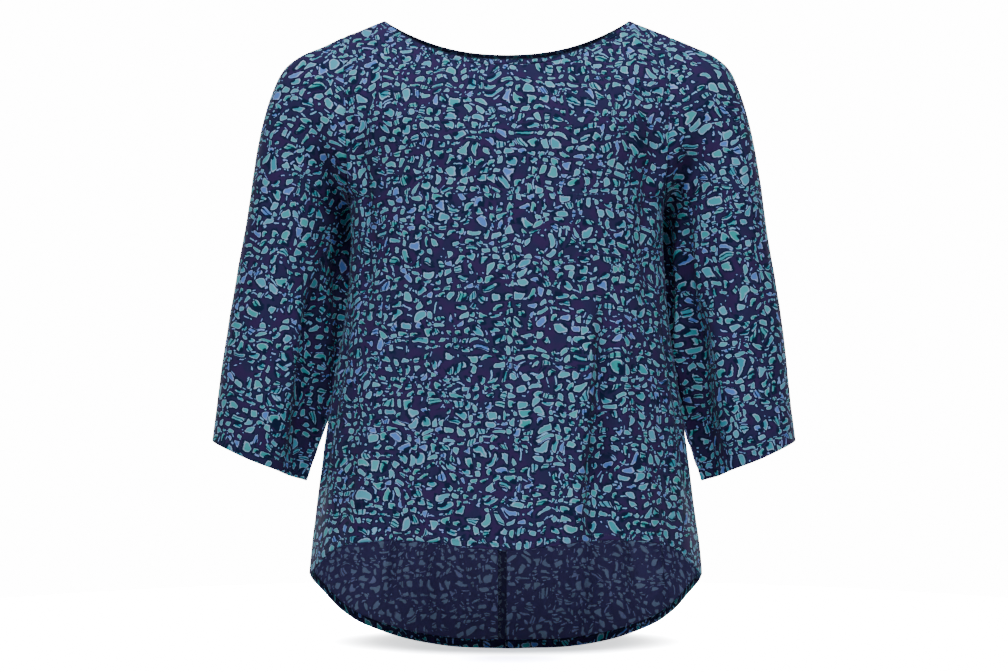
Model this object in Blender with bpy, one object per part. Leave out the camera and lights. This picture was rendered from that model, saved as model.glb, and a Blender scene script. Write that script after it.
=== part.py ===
"""A printed pull-on top with a wide neck, three-quarter sleeves and a dipped hem.

The cloth keeps the hollow form that it has when worn. +X is the viewer's right, the front faces -Y,
and the origin lies between the two shoulder points at the neck. Sizes are in millimetres until a
mesh is made.
"""

from collections import namedtuple
from functools import partial
from math import copysign, cos, pi, radians, sin, sqrt

import bpy
import numpy as np

MM = 0.001
ACROSS, DEEP = 0, 1
PRINTED_INDIGO = (0.045, 0.075, 0.16)
ROUGHNESS = 0.8
SHARP_FROM = 50

# cloth
WALL = 1.5
HEM_WALL = 2.4
HEM_TURN = 9.0
HEM_STEP = 0.0015
SEAM_GAP = 0.3

# neck and shoulders
NECK_HALF = 139.5
NECK_DROP_FRONT = 52.5
NECK_DROP_BACK = 31.0
NECK_ROUND = 2.4
BINDING_TALL = 6.0
BINDING_WALL = 2.2
SHOULDER_SLOPE = 0.39
NECK_RISE = 0.30
RIDGE_BACK = 8.0
TIP_X = 187.0
CHEST_FALL = 190.0
NAPE_FALL = 150.0
FALL_POWER = 0.62

# armholes and side seams
UNDERARM_X = 180.0
UNDERARM_Z = -205.0
ARMHOLE_DEPTH = 51.0
SLEEVE_LENGTH = 420.0
SIDE_CORNER_Z = -636.0
SQUARENESS = 2.3
CHEST_BLEND = 2.4
RIM_SHARPNESS = 24
RIM_RELEASE = 0.5
CHEST_RELEASE = 0.6
SWAY = 1.5
SWAY_FALL = 350.0
SLEEVE_SWAY = 3.3
HEM_TWIST = 1.5

# folds: the shares of a run over which it comes and goes, and how much further it fades
FOLD_START = 0.35
FOLD_END = 0.25
BODY_FADE = 60.0
SLEEVE_FADE = 0.08
SIDE_HOLD = 4.0
SLEEVE_SHIFT = 0.5

# mesh
NECK_STEPS = 9
SHOULDER_STEPS = 8
SKIRT_STEPS = 13
ARMHOLE_STEPS = 10
SLEEVE_STEPS = 16
ACROSS_STEP = 0.0005
PHASE_STEP = 0.5
DOWN_STEP = 0.002

Ring = namedtuple("Ring", "z half_width front back square")
BODY = [
    Ring(-760.0, 229.0, 158.0, 155.0, 2.3),
    Ring(-636.0, 224.5, 150.0, 146.0, 2.3),
    Ring(-550.0, 215.0, 142.0, 135.0, 2.3),
    Ring(-475.0, 205.0, 134.0, 125.0, 2.25),
    Ring(-400.0, 194.0, 127.0, 115.0, 2.2),
    Ring(-350.0, 186.5, 122.0, 109.0, 2.15),
    Ring(-300.0, 180.5, 118.0, 104.0, 2.1),
    Ring(-250.0, 178.5, 115.0, 102.0, 2.05),
    Ring(UNDERARM_Z, UNDERARM_X, 112.0, 102.0, 2.0),
    Ring(-120.0, 190.0, 105.0, 101.0, 2.0),
    Ring(0.0, 190.0, 96.0, 94.0, 2.0),
    Ring(60.0, 190.0, 92.0, 90.0, 2.0),
]

Hem = namedtuple("Hem", "turn z")
HEM = [
    Hem(0, -596), Hem(10, -592), Hem(20, -587), Hem(30, -586.5), Hem(40, -589), Hem(50, -594),
    Hem(56, -599), Hem(62, -608), Hem(70, -620), Hem(80, -631), Hem(90, SIDE_CORNER_Z),
    Hem(109, -661), Hem(120, -683), Hem(129, -699), Hem(138, -711), Hem(151, -725.5),
    Hem(165, -735.5), Hem(180, -738.5),
]

Fold = namedtuple("Fold", "turn top foot depth width lean")
FOLDS = [
    Fold(27, -440, -620, 7.0, 9, 2),
    Fold(41, -400, -640, -5.0, 8, 3),
    Fold(-30, -470, -620, 5.0, 8, -3),
    Fold(-44, -430, -640, -4.5, 8, -2),
    Fold(4, -500, -640, -4.0, 12, 0),
    Fold(60, -90, -330, 5.0, 8, -9),
    Fold(-60, -90, -330, 5.0, 8, 9),
    Fold(72, -300, -560, 4.0, 6, 5),
    Fold(-73, -280, -540, 4.0, 6, -5),
    Fold(118, -90, -350, 5.0, 8, 8),
    Fold(-117, -90, -340, 5.0, 8, -8),
    Fold(136, -420, -720, 8.0, 9, -4),
    Fold(-139, -450, -720, 7.0, 9, 4),
    Fold(158, -480, -740, -6.0, 9, 3),
    Fold(-161, -430, -740, -6.0, 8, -3),
    Fold(107, -330, -640, 4.0, 7, 0),
    Fold(-108, -360, -640, 4.0, 7, 0),
]

Section = namedtuple("Section", "along outer_x outer_z inner_x inner_y inner_z depth")
SLEEVE = [
    Section(0.00, TIP_X, (NECK_HALF - TIP_X) * SHOULDER_SLOPE, UNDERARM_X, 0, UNDERARM_Z, ARMHOLE_DEPTH),
    Section(0.07, 213.0, -30.0, 182.0, 6.0, -208.0, 53.0),
    Section(0.14, 237.5, -41.0, 181.6, 14.0, -214.0, 54.0),
    Section(0.22, 257.0, -58.5, 178.9, 23.0, -224.0, 54.0),
    Section(0.31, 271.0, -90.0, 177.4, 28.0, -240.0, 53.0),
    Section(0.41, 281.0, -127.0, 176.6, 30.0, -262.0, 52.0),
    Section(0.52, 290.5, -184.0, 177.8, 30.0, -295.0, 52.0),
    Section(0.63, 298.5, -237.0, 182.3, 30.0, -333.0, 52.0),
    Section(0.75, 310.0, -305.0, 190.3, 28.0, -385.0, 51.0),
    Section(0.88, 324.0, -394.0, 203.6, 23.0, -455.0, 50.0),
    Section(1.00, 334.0, -482.0, 227.0, 16.0, -529.0, 49.0),
]

SleeveFold = namedtuple("SleeveFold", "phase top foot depth width drift")
SLEEVE_FOLDS = [
    SleeveFold(62, 0.30, 1.05, 5.0, 15, -14),
    SleeveFold(100, 0.45, 1.00, -3.0, 16, 6),
    SleeveFold(40, 0.10, 0.70, 4.0, 13, 22),
    SleeveFold(-58, 0.30, 1.05, 5.0, 15, 12),
    SleeveFold(-98, 0.40, 1.00, -3.5, 17, -8),
    SleeveFold(-36, 0.12, 0.65, 4.0, 13, -20),
]


def curve_at(table, key, value, where):
    """Read a smooth curve through one column of a table, which rises along its key column."""
    at = [getattr(row, key) for row in table]
    to = [getattr(row, value) for row in table]
    where = min(max(where, at[0]), at[-1])
    k = min(int(np.searchsorted(at, where, side="right")), len(at) - 1) - 1

    def slope(i):
        low, high = max(i - 1, 0), min(i + 1, len(at) - 1)
        return (to[high] - to[low]) / (at[high] - at[low])

    step = at[k + 1] - at[k]
    t = (where - at[k]) / step
    start = (1 + 2 * t) * (1 - t) ** 2 * to[k] + t * (1 - t) ** 2 * step * slope(k)
    end = t * t * (3 - 2 * t) * to[k + 1] + t * t * (t - 1) * step * slope(k + 1)
    return start + end


def ease(t):
    t = min(max(t, 0.0), 1.0)
    return t * t * (3 - 2 * t)


def fold_depth(folds, place, offset_of, along_of):
    """Add up the soft troughs and ridges at one place on a piece."""
    total = 0.0
    for fold in folds:
        run = along_of(fold, place)
        if 0 < run < 1:
            off = offset_of(fold, place, run)
            total += fold.depth * ease(run / FOLD_START) * ease((1 - run) / FOLD_END) / (1 + off * off) ** 2
    return total


def shoulder_z(x):
    """Height of the ridge over the shoulder, which runs on upwards over the neck opening."""
    out = abs(x) - NECK_HALF
    return -out * (SHOULDER_SLOPE if out > 0 else NECK_RISE)


def neck_z(x, front, inset):
    """Height of the neck edge, or of a line beside it at an inset down the cloth."""
    half = NECK_HALF + inset
    drop = (NECK_DROP_FRONT if front else NECK_DROP_BACK) + inset * (1 - SHOULDER_SLOPE)
    return shoulder_z(half) - drop * (1 - min(abs(x) / half, 1.0) ** NECK_ROUND)


def hem_z(turn):
    """Height of the hem, whose lowest place lies a little to one side of centre back."""
    twisted = abs(turn + HEM_TWIST * (1 - cos(radians(turn))) / 2)
    return curve_at(HEM, "turn", "z", min(twisted, 360 - twisted))


def form_y(x, z, front):
    """Depth of the figure's rounded form under the ridge of the shoulder, away from its sides."""
    full = curve_at(BODY, "z", "front" if front else "back", z)
    drop = min(max((shoulder_z(x) - z) / (CHEST_FALL if front else NAPE_FALL), 0.0), 1.0)
    share = (1 - (1 - drop) ** 2) ** FALL_POWER
    return RIDGE_BACK - (full + RIDGE_BACK) * share if front else RIDGE_BACK + (full - RIDGE_BACK) * share


def body_fold(turn, z):
    def offset(fold, place, run):
        return (place[0] - fold.turn - fold.lean * (run - 0.5)) / fold.width

    def along(fold, place):
        return (fold.top - place[1]) / (fold.top - fold.foot + BODY_FADE)

    return fold_depth(FOLDS, (turn, z), offset, along)


def body_point(front, across, rise, inset=BINDING_TALL):
    """A point of the body: across is -1 to 1 from side to side, and rise is -1 at the hem, 0 at the
    underarm and 1 at the shoulder seam or at a line beside the neck edge."""
    side_turn = np.degrees(np.arcsin(min(abs(across), 1.0) ** (SQUARENESS / 2)))
    turn = copysign(side_turn if front else 180 - side_turn, across)
    if rise < 0:
        z = UNDERARM_Z + (UNDERARM_Z - hem_z(turn)) * rise
        edge_z = UNDERARM_Z + (UNDERARM_Z - SIDE_CORNER_Z) * rise
        half = curve_at(BODY, "z", "half_width", edge_z)
        side_y = rim_y = 0.0
    else:
        top_x = abs(across) * TIP_X
        top = neck_z(top_x, front, inset) if top_x < NECK_HALF + inset else shoulder_z(top_x)
        z = UNDERARM_Z + (top - UNDERARM_Z) * rise
        half = UNDERARM_X + (TIP_X - UNDERARM_X) * rise
        hollow = ARMHOLE_DEPTH * 2 * sqrt(rise * (1 - rise))
        rim_y = RIDGE_BACK * rise + (-hollow if front else hollow)
        side_y = rim_y * ease(rise / RIM_RELEASE)
    square = curve_at(BODY, "z", "square", z)
    bow = max(1 - abs(across) ** square, 0.0) ** (1 / square)
    open_out = ease(rise / CHEST_RELEASE)
    bow = (1 - open_out) * bow + open_out * (1 - abs(across) ** CHEST_BLEND)
    inward = body_fold(turn, z) * min(SIDE_HOLD * bow, 1.0)
    x = across * half - inward * sin(radians(turn))
    y = side_y + (form_y(x, z, front) - side_y) * bow + inward * cos(radians(turn))
    y += (rim_y - side_y) * abs(across) ** RIM_SHARPNESS
    return np.array((x - SWAY * ease((UNDERARM_Z - z) / SWAY_FALL), y, z))


def sleeve_point(side, phase, along):
    """A point of a sleeve: phase in degrees round it from the underarm, positive at the front."""
    row = {name: curve_at(SLEEVE, "along", name, along) for name in Section._fields[1:]}
    angle = radians(phase)
    t = (1 - cos(angle)) / 2
    x = row["inner_x"] + (row["outer_x"] - row["inner_x"]) * t
    z = row["inner_z"] + (row["outer_z"] - row["inner_z"]) * t
    y = row["inner_y"] * (1 - t) + RIDGE_BACK * t * (1 - along) - row["depth"] * sin(angle)

    def offset(fold, place, run):
        return (place[0] - fold.phase - fold.drift * (run - 0.5)) / fold.width

    def run_of(fold, place):
        return (place[1] - fold.top) / (fold.foot - fold.top + SLEEVE_FADE)

    inward = fold_depth(SLEEVE_FOLDS, (phase, along), offset, run_of)
    x += inward * cos(angle) * SLEEVE_SHIFT
    y += inward * sin(angle)
    return np.array((side * x - SLEEVE_SWAY * along * along, y, z))


def outward(place, u, v, u_step, u_range, v_range):
    """Unit vector out of the cloth at one place of a surface, u and v kept in their ranges."""
    u_low, u_high = max(u - u_step, u_range[0]), min(u + u_step, u_range[1])
    v_low, v_high = max(v - DOWN_STEP, v_range[0]), min(v + DOWN_STEP, v_range[1])
    normal = np.cross(place(u_high, v) - place(u_low, v), place(u, v_high) - place(u, v_low))
    return normal / np.linalg.norm(normal)


def level(values, axis):
    """Take one axis out of a direction, so that two walls meet face to face at a seam."""
    values = values.copy()
    values[axis] = 0
    return values / np.linalg.norm(values)


def cloth(name, outer, inner, closed=False):
    """Close the wall between two grids of points (rows of columns) and link it as one object."""
    rows, columns = outer.shape[:2]
    count = rows * columns
    points = np.concatenate([outer.reshape(-1, 3), inner.reshape(-1, 3)]) * MM
    faces = []

    def at(row, column, layer):
        return layer * count + row * columns + column % columns

    last = columns if closed else columns - 1
    for row in range(rows - 1):
        for column in range(last):
            quad = [(row, column), (row, column + 1), (row + 1, column + 1), (row + 1, column)]
            faces.append([at(r, c, 0) for r, c in quad])
            faces.append([at(r, c, 1) for r, c in reversed(quad)])
    for column in range(last):
        for row, step in ((0, 1), (rows - 1, 0)):
            a, b = (column, column + 1) if step else (column + 1, column)
            faces.append([at(row, b, 0), at(row, a, 0), at(row, a, 1), at(row, b, 1)])
    if not closed:
        for row in range(rows - 1):
            for column, a, b in ((0, row, row + 1), (columns - 1, row + 1, row)):
                faces.append([at(a, column, 0), at(b, column, 0), at(b, column, 1), at(a, column, 1)])
    mesh = bpy.data.meshes.new(name)
    mesh.from_pydata(points.tolist(), [], faces)
    mesh.shade_smooth()
    mesh.set_sharp_from_angle(angle=radians(SHARP_FROM))
    mesh.materials.append(fabric(name))
    part = bpy.data.objects.new(name, mesh)
    top.objects.link(part)
    return part


def fabric(name):
    material = bpy.data.materials.new(name)
    material.use_nodes = True
    shader = material.node_tree.nodes["Principled BSDF"]
    shader.inputs["Base Color"].default_value = (*PRINTED_INDIGO, 1)
    shader.inputs["Roughness"].default_value = ROUGHNESS
    shader.inputs["Metallic"].default_value = 0
    return material


def rises():
    """Rows of a body panel: the turned hem, the skirt up to the underarm, then the armhole."""
    turned = HEM_TURN / (UNDERARM_Z - SIDE_CORNER_Z) - 1
    skirt = np.linspace(turned + HEM_STEP, 0, SKIRT_STEPS + 1)
    armhole = [(1 - cos(pi * step / ARMHOLE_STEPS)) / 2 for step in range(1, ARMHOLE_STEPS + 1)]
    return [-1.0, turned, *skirt, *armhole]


def quarter_columns():
    """Columns from the centre line to the side, evenly round the form, one at the neck's corner."""
    corner = np.arcsin(((NECK_HALF + BINDING_TALL) / TIP_X) ** (SQUARENESS / 2))
    turns = [*np.linspace(0, corner, NECK_STEPS + 1), *np.linspace(corner, pi / 2, SHOULDER_STEPS + 1)[1:]]
    return [sin(turn) ** (2 / SQUARENESS) for turn in turns]


def neck_point(front, share, inset):
    return body_point(front, share * (NECK_HALF + inset) / TIP_X, 1.0, inset)


def neck_normal(front, share, inset):
    """Unit vector out of the cloth beside the neck edge; share is -1 to 1 across the opening."""
    low, high = max(share - DOWN_STEP, -1.0), min(share + DOWN_STEP, 1.0)
    sideways = neck_point(front, high, inset) - neck_point(front, low, inset)
    up = neck_point(front, share, inset - 0.5) - neck_point(front, share, inset + 0.5)
    normal = np.cross(sideways, up) * (1 if front else -1)
    return normal / np.linalg.norm(normal)


def body_panel(name, front, columns, first_axis, last_axis):
    """Build a body panel between two seams, each given by the axis that runs across it."""
    rows = rises()
    columns = columns if front else columns[::-1]
    place = partial(body_point, front)
    outer = np.zeros((len(rows), len(columns), 3))
    inner = np.zeros_like(outer)
    for i, rise in enumerate(rows):
        for j, across in enumerate(columns):
            point = place(across, rise)
            normal = outward(place, across, rise, ACROSS_STEP, (-1, 1), (-2, 1)) * (1 if front else -1)
            at_neck = rise == 1 and abs(across) * TIP_X < NECK_HALF + BINDING_TALL + 1
            if at_neck:
                share = across * TIP_X / (NECK_HALF + BINDING_TALL)
                normal = neck_normal(front, min(max(share, -1.0), 1.0), BINDING_TALL)
            if rise == 1 and abs(across) * TIP_X > NECK_HALF + BINDING_TALL - 1:
                normal = level(normal, DEEP)
                point[DEEP] += (-1 if front else 1) * SEAM_GAP / 2
            for edge, axis, inside in ((0, first_axis, 1), (len(columns) - 1, last_axis, -2)):
                if j == edge and (axis == ACROSS or rise <= 0):
                    normal = level(normal, axis)
                    way = place(columns[inside], rise)[axis] - point[axis]
                    point[axis] += copysign(SEAM_GAP / 2, way)
            outer[i, j] = point
            inner[i, j] = point - normal * (HEM_WALL if i < 2 else WALL)
    return cloth(name, outer, inner)


def sleeve(name, side):
    turned = 1 - HEM_TURN / SLEEVE_LENGTH
    alongs = [*np.linspace(0, turned - HEM_STEP, SLEEVE_STEPS + 1), turned, 1.0]
    phases = [side * 180 * step / ARMHOLE_STEPS for step in range(ARMHOLE_STEPS, -ARMHOLE_STEPS, -1)]
    place = partial(sleeve_point, side)
    outer = np.zeros((len(alongs), len(phases), 3))
    inner = np.zeros_like(outer)
    for i, along in enumerate(alongs):
        for j, phase in enumerate(phases):
            point = place(phase, along)
            normal = -side * outward(place, phase, along, PHASE_STEP, (-360, 360), (0, 1))
            if i == 0:
                point[ACROSS] += side * SEAM_GAP
            outer[i, j] = point
            inner[i, j] = point - normal * (HEM_WALL if i >= len(alongs) - 2 else WALL)
    return cloth(name, outer, inner, closed=True)


def neck_binding(name):
    """Bind the neck edge: a closed ring that carries the form of the body on above the panels."""
    outer_half = NECK_HALF + BINDING_TALL
    quarter = [across * TIP_X / outer_half for across in quarter_columns()[: NECK_STEPS + 1]]
    ring = [(share, True) for share in quarter] + [(share, False) for share in quarter[-2::-1]]
    ring += [(-share, False) for share in quarter[1:]] + [(-share, True) for share in quarter[-2:0:-1]]
    insets = [BINDING_TALL - 1.5 * SEAM_GAP, BINDING_TALL / 2, 0.0]
    outer = np.zeros((len(insets), len(ring), 3))
    inner = np.zeros_like(outer)
    for i, inset in enumerate(insets):
        for j, (share, front) in enumerate(ring):
            point = neck_point(front, share, inset)
            normal = neck_normal(front, share, inset)
            if abs(share) == 1:
                normal = level(normal, DEEP)
            outer[i, j] = point + normal * (BINDING_WALL - WALL) / 2
            inner[i, j] = point - normal * (BINDING_WALL + WALL) / 2
    return cloth(name, outer, inner, closed=True)


for old in list(bpy.data.objects):
    bpy.data.objects.remove(old)
top = bpy.data.collections.new("printed_top")
bpy.context.scene.collection.children.link(top)

right_half = quarter_columns()
left_half = [-across for across in right_half[::-1]]
body_panel("front", True, left_half[:-1] + right_half, DEEP, DEEP)
body_panel("back_right", False, right_half, DEEP, ACROSS)
body_panel("back_left", False, left_half, ACROSS, DEEP)
sleeve("sleeve_right", 1)
sleeve("sleeve_left", -1)
neck_binding("neck_binding")
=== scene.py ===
from math import pi, radians

import bpy
import numpy as np
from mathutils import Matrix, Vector


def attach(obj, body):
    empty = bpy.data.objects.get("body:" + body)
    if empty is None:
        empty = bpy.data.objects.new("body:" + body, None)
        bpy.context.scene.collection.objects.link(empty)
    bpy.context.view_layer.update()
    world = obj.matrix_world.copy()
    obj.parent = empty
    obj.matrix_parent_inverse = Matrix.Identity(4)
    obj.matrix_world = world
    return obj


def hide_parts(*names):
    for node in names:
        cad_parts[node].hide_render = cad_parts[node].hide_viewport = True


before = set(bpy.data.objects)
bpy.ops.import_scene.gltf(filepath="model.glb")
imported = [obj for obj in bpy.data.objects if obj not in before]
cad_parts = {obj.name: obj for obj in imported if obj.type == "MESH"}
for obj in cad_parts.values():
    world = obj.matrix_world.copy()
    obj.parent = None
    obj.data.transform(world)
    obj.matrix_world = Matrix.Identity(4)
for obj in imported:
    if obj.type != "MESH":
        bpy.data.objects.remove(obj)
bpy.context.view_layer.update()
mm = 0.001

# the form of the top in millimetres, in the frame of the CAD model
neck = {
    "half": 139.5,  # of the width of the opening
    "dropFront": 52.5,
    "dropBack": 31.0,
    "round": 2.4,
    "slope": 0.39,  # of the shoulder
    "rise": 0.30,  # of the ridge, over the opening
    "ridgeBack": 8.0,
    "tipX": 187.0,  # of the shoulder
    "fallFront": 190.0,  # below the ridge, down to where the form is at its full depth
    "fallBack": 150.0,
    "fallPower": 0.62,
}
side = {
    "underarmX": 180.0,
    "underarmZ": -205.0,
    "armholeDepth": 51.0,
    "cornerZ": -636.0,  # foot of the side seams
    "squareness": 2.3,
    "chestBlend": 2.4,
    "rimSharpness": 24,
    "sway": 1.5,
    "swayOver": 350,
    "sleeveSway": 3.3,
    "sleeveLength": 420.0,
    "hemTwist": 1.5,  # in degrees
}
body = {
    "z": [-760, -636, -550, -475, -400, -350, -300, -250, -205, -120, 0, 60],
    "half": [229, 224.5, 215, 205, 194, 186.5, 180.5, 178.5, 180, 190, 190, 190],
    "front": [158, 150, 142, 134, 127, 122, 118, 115, 112, 105, 96, 92],
    "back": [155, 146, 135, 125, 115, 109, 104, 102, 102, 101, 94, 90],
    "square": [2.3, 2.3, 2.3, 2.25, 2.2, 2.15, 2.1, 2.05, 2, 2, 2, 2],
}
hemLine = {
    "turn": [0, 10, 20, 30, 40, 50, 56, 62, 70, 80, 90, 109, 120, 129, 138, 151, 165, 180],
    "z": [-596, -592, -587, -586.5, -589, -594, -599, -608, -620, -631, -636, -661, -683, -699,
          -711, -725.5, -735.5, -738.5],
}
sleeveForm = {
    "along": [0, 0.07, 0.14, 0.22, 0.31, 0.41, 0.52, 0.63, 0.75, 0.88, 1],
    "outerX": [187, 213, 237.5, 257, 271, 281, 290.5, 298.5, 310, 324, 334],
    "outerZ": [-18.525, -30, -41, -58.5, -90, -127, -184, -237, -305, -394, -482],
    "innerX": [180, 180.4, 179.6, 178, 177, 176.4, 177.8, 182.3, 190.3, 203.6, 227],
    "innerY": [0, 6, 14, 23, 28, 30, 30, 30, 28, 23, 16],
    "innerZ": [-205, -208, -214, -224, -240, -262, -295, -333, -385, -455, -529],
    "depth": [51, 53, 54, 54, 53, 52, 52, 52, 51, 50, 49],
    "tuck": [0, 0, 8, 22, 30, 33, 33, 32, 29, 24, 15],  # of the front, back behind the body's edge
}

# soft folds: turn round the body, top and foot, depth, width in degrees, lean in degrees
bodyFolds = [
    (27, -440, -620, 7.0, 9, 2), (41, -400, -640, -5.0, 8, 3), (-30, -470, -620, 5.0, 8, -3),
    (-44, -430, -640, -4.5, 8, -2), (4, -500, -640, -4.0, 12, 0), (60, -90, -330, 5.0, 8, -9),
    (-60, -90, -330, 5.0, 8, 9), (72, -300, -560, 5.0, 6, 5), (-73, -280, -540, 5.0, 6, -5),
    (118, -90, -380, 7.0, 6, 8), (-117, -90, -350, 7.0, 6, -8), (137, -360, -640, 12.0, 6.5, -4),
    (-140, -400, -645, 11.0, 6.5, 4), (159, -450, -685, -12, 5, 3), (-162, -400, -690, -9.0, 6, -3),
    (107, -330, -580, 7.0, 5, 0), (-108, -360, -590, 7.0, 5, 0), (126, -520, -630, -6.0, 2.5, 0),
    (174, -60, -420, 4.0, 5, 5), (-168, -150, -560, 5.0, 5, -4),
]
# phase round the sleeve, top and foot along it, depth, width in degrees, lean in degrees
sleeveFolds = [
    (62, 0.30, 1.05, 5.0, 15, -14), (100, 0.45, 1.00, -3.0, 16, 6), (40, 0.10, 0.70, 4.0, 13, 22),
    (-58, 0.30, 1.05, 5.0, 15, 12), (-98, 0.40, 1.00, -3.5, 17, -8), (-36, 0.12, 0.65, 4.0, 13, -20),
]

seamEdges = ("left", "right", "top")
cloth = {
    "thick": 0.8,
    "hemThick": 1.9,
    "hemSteps": (0, 1.0, 2.5, 4.5, 6.5, 8.2, 8.8),  # heights of the rows from the hem up
    "hemRows": 5,  # that the turned hem covers
    "seamGap": 0.02,
    "seamDip": 0.7,
    "waves": [(0.8, 0.11, 3), (0.16, 0.034, 4)],  # height in mm, size in m, seed
    "pucker": 0.35,
    "cutShift": (0.631, 0.417),  # in m, from one piece's place in the print to the next one's
}
aboveHem = cloth["hemRows"] + 1
density = {
    "skirtRows": 112,
    "chestRows": 54,
    "neckColumns": 34,
    "shoulderColumns": 30,
    "sleeveRows": 104,
    "sleeveColumns": 96,
    "neckRing": 60,  # points to a quarter of it
    "flat": (34, 26),  # rows and columns at most, of the grid that is laid flat
}
binding = {"tall": 6.0, "stitchFromEdge": 4.9, "stitchOutside": 0.42, "stitchInside": 1.86}


def curveAt(table, key, value, where):
    # a smooth curve through the points of a table
    at = np.array(table[key], float)
    to = np.array(table[value], float)
    where = np.clip(where, at[0], at[-1])
    k = np.clip(np.searchsorted(at, where, side="right") - 1, 0, len(at) - 2)
    low = np.maximum(np.arange(len(at)) - 1, 0)
    high = np.minimum(np.arange(len(at)) + 1, len(at) - 1)
    slope = (to[high] - to[low]) / (at[high] - at[low])
    step = at[k + 1] - at[k]
    t = (where - at[k]) / step
    start = (1 + 2 * t) * (1 - t) ** 2 * to[k] + t * (1 - t) ** 2 * step * slope[k]
    end = t * t * (3 - 2 * t) * to[k + 1] + t * t * (t - 1) * step * slope[k + 1]
    return start + end


def ease(t):
    t = np.clip(t, 0, 1)
    return t * t * (3 - 2 * t)


def foldDepth(folds, place, down, spare):
    # place is round the piece in degrees, down is how far along it; spare takes each fold on past its foot
    total = 0
    for middle, top, foot, depth, width, lean in folds:
        run = (down - top) / (foot - top + spare)
        off = (place - middle - lean * (run - 0.5)) / width
        shown = ease(run / 0.35) * ease((1 - run) / 0.25)
        total = total + shown * depth / (1 + off * off) ** 2
    return total


def shoulderZ(x):
    out = np.abs(x) - neck["half"]
    return -out * np.where(out > 0, neck["slope"], neck["rise"])


def neckZ(x, front, inset):
    half = neck["half"] + inset
    drop = (neck["dropFront"] if front else neck["dropBack"]) + inset * (1 - neck["slope"])
    return shoulderZ(half) - drop * (1 - np.minimum(np.abs(x) / half, 1) ** neck["round"])


def hemZ(turn):
    # height of the hem at a turn round the body, twisted a little
    twisted = np.abs(turn + side["hemTwist"] * (1 - np.cos(np.radians(turn))) / 2)
    return curveAt(hemLine, "turn", "z", np.minimum(twisted, 360 - twisted))


def formY(x, z, front):
    full = curveAt(body, "z", "front" if front else "back", z)
    drop = np.clip((shoulderZ(x) - z) / neck["fallFront" if front else "fallBack"], 0, 1)
    share = (1 - (1 - drop) ** 2) ** neck["fallPower"]
    ridge = neck["ridgeBack"]
    return ridge - (full + ridge) * share if front else ridge + (full - ridge) * share


def bodyPoint(front, across, rise, inset=binding["tall"]):
    # across is -1 to 1 between the side seams; rise is -1 at the hem, 0 at the underarm, 1 at the top
    across, rise = np.broadcast_arrays(np.asarray(across, float), np.asarray(rise, float))
    out = np.minimum(np.abs(across), 1)
    sideTurn = np.degrees(np.arcsin(out ** (side["squareness"] / 2)))
    turn = np.copysign(sideTurn if front else 180 - sideTurn, across)
    below = rise < 0
    up = np.maximum(rise, 0)
    topX = out * neck["tipX"]
    top = np.where(topX < neck["half"] + inset, neckZ(topX, front, inset), shoulderZ(topX))
    underarm = side["underarmZ"]
    z = underarm + np.where(below, (underarm - hemZ(turn)) * rise, (top - underarm) * rise)
    edgeZ = underarm + (underarm - side["cornerZ"]) * rise
    half = np.where(below, curveAt(body, "z", "half", edgeZ),
                    side["underarmX"] + (neck["tipX"] - side["underarmX"]) * rise)
    hollow = side["armholeDepth"] * 2 * np.sqrt(up * (1 - up))
    rimY = np.where(below, 0, neck["ridgeBack"] * up + (-hollow if front else hollow))
    sideY = np.where(below, 0, rimY * ease(up / 0.5))
    square = curveAt(body, "z", "square", z)
    bow = np.maximum(1 - out ** square, 0) ** (1 / square)
    openOut = ease(up / 0.6)
    bow = (1 - openOut) * bow + openOut * (1 - out ** side["chestBlend"])
    inward = foldDepth(bodyFolds, turn, z, -60) * np.minimum(4 * bow, 1)
    x = across * half - inward * np.sin(np.radians(turn))
    y = sideY + (formY(x, z, front) - sideY) * bow + inward * np.cos(np.radians(turn))
    y = y + (rimY - sideY) * out ** side["rimSharpness"]
    swayed = x - side["sway"] * ease((underarm - z) / side["swayOver"])
    return np.stack([swayed, y, z], -1) * mm


def sleevePoint(hand, phase, along):
    # phase is in degrees round the sleeve from the underarm seam, first over the front
    phase, along = np.broadcast_arrays(np.asarray(phase, float), np.asarray(along, float))
    row = {name: curveAt(sleeveForm, "along", name, along) for name in list(sleeveForm)[1:]}
    angle = np.radians(phase)
    t = (1 - np.cos(angle)) / 2
    inward = foldDepth(sleeveFolds, (phase + 180) % 360 - 180, along, 0.08)
    x = row["innerX"] + (row["outerX"] - row["innerX"]) * t + inward * np.cos(angle) * 0.5
    z = row["innerZ"] + (row["outerZ"] - row["innerZ"]) * t
    y = row["innerY"] * (1 - t) + neck["ridgeBack"] * t * (1 - along) - row["depth"] * np.sin(angle)
    tucked = ease(phase / 26) * ease((112 - phase) / 84)
    y = y + inward * np.sin(angle) + row["tuck"] * tucked
    return np.stack([hand * x - side["sleeveSway"] * along * along, y, z], -1) * mm


# cloth is worked on as grids of points, with row 0 at the hem
def unit(vectors):
    return vectors / np.maximum(np.linalg.norm(vectors, axis=-1, keepdims=True), 1e-12)


def outwardOf(points):
    return unit(np.cross(np.gradient(points, axis=1), np.gradient(points, axis=0)))


def ripple(points, size, seed):
    # uneven waves of about that size through space, the same on every piece
    rng = np.random.default_rng(seed)
    waves = 7
    total = 0
    for _ in range(waves):
        way = rng.normal(size=3)
        way *= 2 * pi * rng.uniform(0.7, 1.4) / size / np.linalg.norm(way)
        total = total + np.sin(points @ way + rng.uniform(0, 2 * pi))
    return total / waves ** 0.5


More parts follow.
